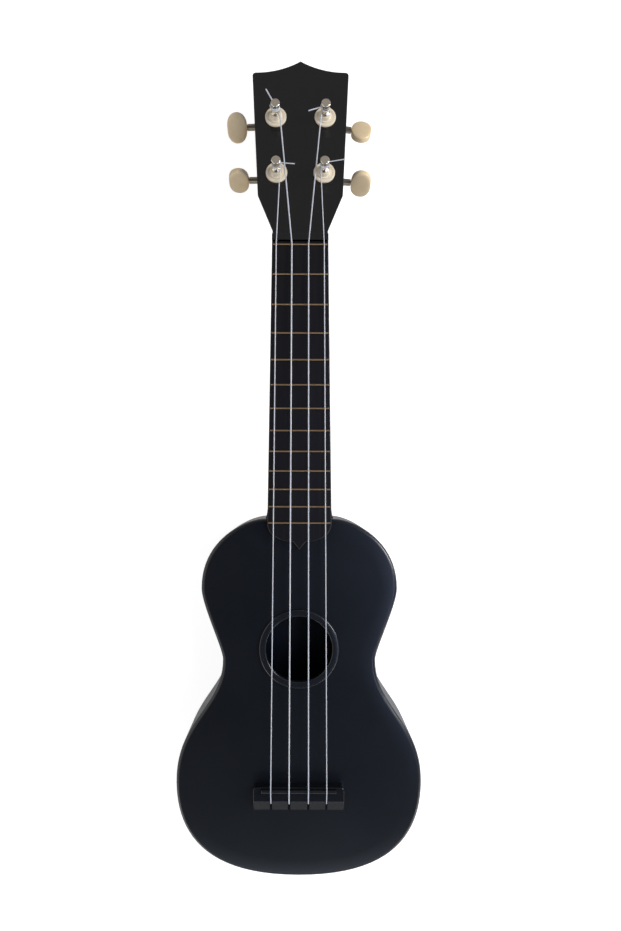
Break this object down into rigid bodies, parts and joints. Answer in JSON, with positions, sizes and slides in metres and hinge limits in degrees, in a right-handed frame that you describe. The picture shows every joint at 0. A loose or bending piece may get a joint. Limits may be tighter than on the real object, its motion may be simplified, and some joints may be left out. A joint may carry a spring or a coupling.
{
  "type": "soprano ukulele",
  "caption": "Small fretted string instrument with a waisted moulded body, round soundhole, fretted neck and a tilted headstock whose geared tuners wind the strings.",
  "frame": {"origin": "on the flat back, straight under the soundhole's centre", "axes": "+Y along the neck towards the headstock, +Z out of the soundboard, +X to the right with the headstock up and the strings facing the viewer"},
  "size_m": [0.163, 0.5354, 0.0665],
  "materials": {
    "moulded_black": "satin moulded ABS, near black",
    "fretboard_black": "dull moulded plastic, near black",
    "fret_brass": "drawn and polished",
    "gear_brass": "cut, bright",
    "nickel_plate": "nickel-plated steel, polished",
    "cream_plastic": "cream moulded plastic",
    "white_nylon": "smooth white nylon"
  },
  "bodies": {
    "instrument": {"body_shell": "moulded_black", "soundboard": "moulded_black", "soundhole_ring": "moulded_black", "upper_brace": "moulded_black", "bridge_plate": "moulded_black", "bridge": "moulded_black", "saddle": "moulded_black", "neck": "moulded_black", "nut": "moulded_black", "fretboard": "fretboard_black", "fret_0": "fret_brass", "fret_1": "fret_brass", "fret_2": "fret_brass", "fret_3": "fret_brass", "fret_4": "fret_brass", "fret_5": "fret_brass", "fret_6": "fret_brass", "fret_7": "fret_brass", "fret_8": "fret_brass", "fret_9": "fret_brass", "fret_10": "fret_brass", "fret_11": "fret_brass", "fret_12": "fret_brass", "string_g": "white_nylon", "string_c": "white_nylon", "string_e": "white_nylon", "string_a": "white_nylon", "bushing_upper_left": "cream_plastic", "base_plate_upper_left": "nickel_plate", "bushing_upper_right": "cream_plastic", "base_plate_upper_right": "nickel_plate", "bushing_lower_left": "cream_plastic", "base_plate_lower_left": "nickel_plate", "bushing_lower_right": "cream_plastic", "base_plate_lower_right": "nickel_plate"},
    "shaft_upper_left": {"worm_shaft_upper_left": "nickel_plate", "button_upper_left": "cream_plastic"},
    "post_upper_left": {"post_upper_left": "nickel_plate", "gear_upper_left": "gear_brass", "gear_screw_upper_left": "nickel_plate", "winding_c": "white_nylon"},
    "shaft_upper_right": {"worm_shaft_upper_right": "nickel_plate", "button_upper_right": "cream_plastic"},
    "post_upper_right": {"post_upper_right": "nickel_plate", "gear_upper_right": "gear_brass", "gear_screw_upper_right": "nickel_plate", "winding_e": "white_nylon"},
    "shaft_lower_left": {"worm_shaft_lower_left": "nickel_plate", "button_lower_left": "cream_plastic"},
    "post_lower_left": {"post_lower_left": "nickel_plate", "gear_lower_left": "gear_brass", "gear_screw_lower_left": "nickel_plate", "winding_g": "white_nylon"},
    "shaft_lower_right": {"worm_shaft_lower_right": "nickel_plate", "button_lower_right": "cream_plastic"},
    "post_lower_right": {"post_lower_right": "nickel_plate", "gear_lower_right": "gear_brass", "gear_screw_lower_right": "nickel_plate", "winding_a": "white_nylon"}
  },
  "joints": [
    {"name": "button_turn_upper_left", "type": "hinge", "parent": "instrument", "child": "shaft_upper_left", "pos_m": [-0.0161, 0.34539, 0.02305], "axis": [0.9991, 0.0411, -0.008], "continuous": true},
    {"name": "post_turn_upper_left", "type": "hinge", "parent": "instrument", "child": "post_upper_left", "pos_m": [-0.0158, 0.34167, 0.04161], "axis": [0, 0.1908, 0.9816], "continuous": true},
    {"name": "button_turn_upper_right", "type": "hinge", "parent": "instrument", "child": "shaft_upper_right", "pos_m": [0.01695, 0.34531, 0.02307], "axis": [0.9871, -0.1569, 0.0305], "continuous": true},
    {"name": "post_turn_upper_right", "type": "hinge", "parent": "instrument", "child": "post_upper_right", "pos_m": [0.0158, 0.34167, 0.04161], "axis": [0, 0.1908, 0.9816], "continuous": true},
    {"name": "button_turn_lower_left", "type": "hinge", "parent": "instrument", "child": "shaft_lower_left", "pos_m": [-0.01526, 0.3078, 0.03036], "axis": [0.9997, 0.0223, -0.0043], "continuous": true},
    {"name": "post_turn_lower_left", "type": "hinge", "parent": "instrument", "child": "post_lower_left", "pos_m": [-0.0151, 0.30407, 0.04891], "axis": [0, 0.1908, 0.9816], "continuous": true},
    {"name": "button_turn_lower_right", "type": "hinge", "parent": "instrument", "child": "shaft_lower_right", "pos_m": [0.01583, 0.30777, 0.03037], "axis": [0.9949, -0.0992, 0.0193], "continuous": true},
    {"name": "post_turn_lower_right", "type": "hinge", "parent": "instrument", "child": "post_lower_right", "pos_m": [0.0151, 0.30407, 0.04891], "axis": [0, 0.1908, 0.9816], "continuous": true}
  ],
  "couplings": [
    {"joint": "post_turn_upper_left", "follows": "button_turn_upper_left", "ratio": 0.071429},
    {"joint": "post_turn_upper_right", "follows": "button_turn_upper_right", "ratio": 0.071429},
    {"joint": "post_turn_lower_left", "follows": "button_turn_lower_left", "ratio": 0.071429},
    {"joint": "post_turn_lower_right", "follows": "button_turn_lower_right", "ratio": 0.071429}
  ]
}
